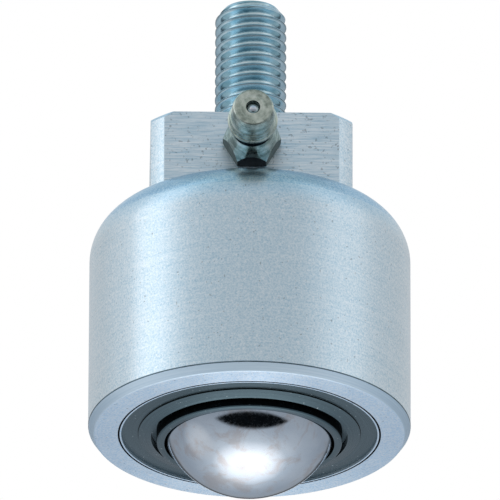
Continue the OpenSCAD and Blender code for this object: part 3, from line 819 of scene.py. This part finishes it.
def toward(azimuth, elevation):
    """A direction from the object; azimuth 0 is the camera's side, 90 is its right."""
    level = cosine(elevation)
    return Vector((sine(azimuth) * level, -cosine(azimuth) * level, sine(elevation)))


def spot(material, direction, middle, edge, full):
    """How far each direction is inside a round patch: 0 past the edge's angle, 1 within the full one."""
    nearness = add(material, "VectorMath", {0: direction, 1: middle},
                   operation="DOT_PRODUCT").outputs["Value"]
    return add(material, "MapRange", {"Value": nearness, "From Min": cosine(edge), "From Max": cosine(full)},
               interpolation_type="SMOOTHSTEP").outputs["Result"]


def pale_paper():
    # uncoated white paper under the object: matt, with hardly any grain
    m = new_material("pale_paper")
    place = add(m, "TexCoord").outputs["Object"]
    # unevenness 25 mm wide
    grain = add(m, "TexNoise", {"Vector": place, "Scale": 40.0}).outputs["Fac"]
    base = add(m, "ValToRGB", {"Fac": grain}, stops=[
        (0.3, colour("EDEDEB")), (0.7, colour("F4F4F2"))]).outputs["Color"]
    shader = add(m, "BsdfPrincipled", {"Base Color": base, "Roughness": 0.9})
    add(m, "OutputMaterial", {"Surface": shader.outputs["BSDF"]})
    return m


def tent_cloth():
    # white cloth lit from outside: bright panels left and right under a bluer, dimmer top, soft light from
    # below, a dim strip low behind, a pale card low on the left, and the dark gap where the camera stands
    m = new_material("lit_tent_cloth")
    place = add(m, "TexCoord").outputs["Object"]
    out = add(m, "VectorMath", {0: place}, operation="NORMALIZE").outputs["Vector"]
    parts = add(m, "SeparateXYZ", {"Vector": out})
    height = parts.outputs["Z"]
    level = add(m, "MapRange", {"Value": height, "From Min": -1.0, "From Max": 1.0}).outputs["Result"]

    # the walls: the levels round the tent times the tints up it
    turn = add(m, "TexGradient", {"Vector": out}, gradient_type="RADIAL").outputs["Fac"]
    round_about = add(m, "ValToRGB", {"Fac": turn}, stops=sorted(
        ((azimuth / 360 + 0.25) % 1.0, bright) for azimuth, bright in SIDE_LEVELS)).outputs["Color"]
    upright = add(m, "ValToRGB", {"Fac": level}, stops=[
        ((sine(elevation) + 1) / 2, tint) for elevation, tint in HEIGHT_TINTS]).outputs["Color"]
    walls = add(m, "Mix", {"Factor": 1.0, "A": round_about, "B": upright},
                data_type="RGBA", blend_type="MULTIPLY").outputs["Result"]

    # the light from below takes over from the walls across its horizon
    low_middle = toward(180, -77)
    below = add(m, "VectorMath", {0: out, 1: low_middle}, operation="DOT_PRODUCT").outputs["Value"]
    nearness = add(m, "MapRange", {"Value": below, "From Min": -1.0, "From Max": 1.0}).outputs["Result"]
    underneath = add(m, "ValToRGB", {"Fac": nearness}, stops=[
        ((cosine(off) + 1) / 2, tint) for off, tint in LOWER_GLOW]).outputs["Color"]
    lit = add(m, "Mix", {"Factor": spot(m, out, low_middle, edge=98, full=82), "A": walls, "B": underneath},
              data_type="RGBA").outputs["Result"]

    # the dim strip, only behind the object
    strip = add(m, "ValToRGB", {"Fac": level}, stops=[
        ((sine(elevation) + 1) / 2, strength) for elevation, strength in LOW_STRIP]).outputs["Color"]
    behind = add(m, "MapRange", {"Value": parts.outputs["Y"], "From Min": 0.2,
                                 "From Max": 0.6}).outputs["Result"]
    dim = add(m, "Math", {0: strip, 1: behind}, operation="MULTIPLY").outputs["Value"]
    stripped = add(m, "Mix", {"Factor": dim, "A": lit, "B": (0.05, 0.055, 0.06, 1)},
                   data_type="RGBA").outputs["Result"]

    # the pale card
    card = spot(m, out, toward(-100, -35), edge=24, full=4)
    carded = add(m, "Mix", {"Factor": card, "A": stripped, "B": (0.72, 0.73, 0.75, 1)},
                 data_type="RGBA").outputs["Result"]

    # the gap at the camera's side: a wide oval that the table's edge cuts off below
    squeezed = add(m, "VectorMath", {0: out, 1: (0.3, 1.0, 1.0)}, operation="MULTIPLY").outputs["Vector"]
    narrow = add(m, "VectorMath", {0: squeezed}, operation="NORMALIZE").outputs["Vector"]
    gap = spot(m, narrow, toward(5, -24), edge=30, full=25)
    table_edge = add(m, "MapRange", {"Value": height, "From Min": sine(-28),
                                     "From Max": sine(-31)}).outputs["Result"]
    dark = add(m, "Math", {0: gap, 1: table_edge}, operation="MULTIPLY").outputs["Value"]
    shown = add(m, "Mix", {"Factor": dark, "A": carded, "B": (0.003, 0.004, 0.005, 1)},
                data_type="RGBA").outputs["Result"]
    glow = add(m, "Emission", {"Color": shown, "Strength": 1.0})
    add(m, "OutputMaterial", {"Surface": glow.outputs["Emission"]})
    return m


clear_selection()
bpy.ops.mesh.primitive_plane_add(size=14, location=(0, 0, -3.5))
floor = named("floor")
dress(floor, pale_paper())

clear_selection()
bpy.ops.mesh.primitive_uv_sphere_add(segments=48, ring_count=32, radius=3.2)
tent = named("light_tent")
dress(tent, tent_cloth())
tent.visible_camera = False


def soft_box(name, azimuth, elevation, distance, width, tall, power):
    """A rectangular lamp aimed at the object; azimuth 0 is at the camera's side, 90 to its right."""
    place = toward(azimuth, elevation) * distance
    bpy.ops.object.light_add(type="AREA", location=place)
    lamp = bpy.context.active_object
    lamp.name = name
    lamp.data.shape = "RECTANGLE"
    lamp.data.size = width
    lamp.data.size_y = tall
    lamp.data.energy = power
    lamp.rotation_euler = (-place).to_track_quat("-Z", "Y").to_euler()
    lamp.visible_camera = False


clear_selection()
soft_box("left_box", -76, 15, distance=2.8, width=1.4, tall=1.8, power=1.2)
soft_box("right_box", 72, 15, distance=2.8, width=1.4, tall=1.8, power=0.6)

world = bpy.data.worlds.new("white_room")
world.use_nodes = True
bpy.context.scene.world = world
world.node_tree.nodes["Background"].inputs["Color"].default_value = (1, 1, 1, 1)
world.node_tree.nodes["Background"].inputs["Strength"].default_value = 1.0

# the picture's width, and how much of it one millimetre takes up
IMAGE_WIDTH = 500
VIEW_SCALE = 7.193

# the camera's sensor in millimetres, its distance in metres and its roll in degrees
SENSOR_WIDTH = 36
DISTANCE = 2.0
CAMERA_ROLL = 0.2
aim = Vector((0, 0, -14.65 * MM))
eye = aim + DISTANCE * toward(-0.8, -24.7)
bpy.ops.object.camera_add(location=eye)
camera = bpy.context.active_object
camera.name = "camera"
level = (aim - eye).to_track_quat("-Z", "Y")
camera.rotation_euler = (level @ Quaternion((0, 0, 1), math.radians(CAMERA_ROLL))).to_euler()
camera.data.sensor_width = SENSOR_WIDTH
camera.data.lens = VIEW_SCALE * DISTANCE / MM / IMAGE_WIDTH * SENSOR_WIDTH
camera.data.clip_start = 0.01
bpy.context.scene.camera = camera
bpy.context.scene.view_settings.view_transform = "Standard"
